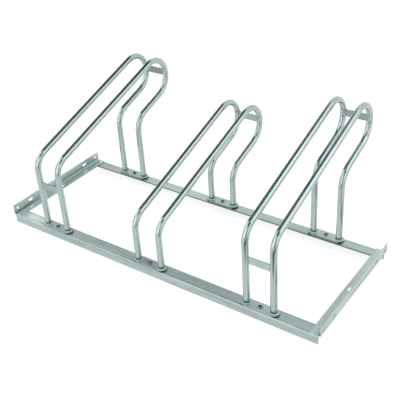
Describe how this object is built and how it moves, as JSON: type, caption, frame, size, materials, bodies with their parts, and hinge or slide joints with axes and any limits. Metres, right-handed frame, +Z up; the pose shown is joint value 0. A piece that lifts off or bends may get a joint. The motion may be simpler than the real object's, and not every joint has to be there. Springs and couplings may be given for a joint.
{
  "type": "floor bike rack",
  "caption": "Low angle-steel frame with paired bent-tube wheel stands set high, low and high, which hold a bicycle's front wheel between the tubes.",
  "frame": {"origin": "middle of the whole rack, on the floor", "axes": "+X along the rails towards the right side bar, +Y from the front rail to the rear rail, +Z up"},
  "size_m": [1.05, 0.5429, 0.401],
  "materials": {
    "profile_zinc": "galvanised, satin",
    "tube_zinc": "galvanised, semi-bright",
    "plate_zinc": "galvanised, satin",
    "fastener_zinc": "zinc plated"
  },
  "bodies": {
    "root": {"front_rail": "profile_zinc", "rear_rail": "profile_zinc", "left_side_bar": "profile_zinc", "right_side_bar": "profile_zinc", "left_stand_tube_left": "tube_zinc", "left_stand_tube_right": "tube_zinc", "middle_stand_tube_left": "tube_zinc", "middle_stand_tube_right": "tube_zinc", "right_stand_tube_left": "tube_zinc", "right_stand_tube_right": "tube_zinc", "left_stand_front_foot": "plate_zinc", "left_stand_rear_foot": "plate_zinc", "middle_stand_front_foot": "plate_zinc", "middle_stand_rear_foot": "plate_zinc", "right_stand_front_foot": "plate_zinc", "right_stand_rear_foot": "plate_zinc", "left_stand_rear_tie": "plate_zinc", "middle_stand_rear_tie": "plate_zinc", "right_stand_rear_tie": "plate_zinc", "left_stand_front_tie": "plate_zinc", "right_stand_front_tie": "plate_zinc", "foot_screws": "fastener_zinc", "foot_washers": "fastener_zinc", "foot_nuts": "fastener_zinc"}
  },
  "joints": []
}
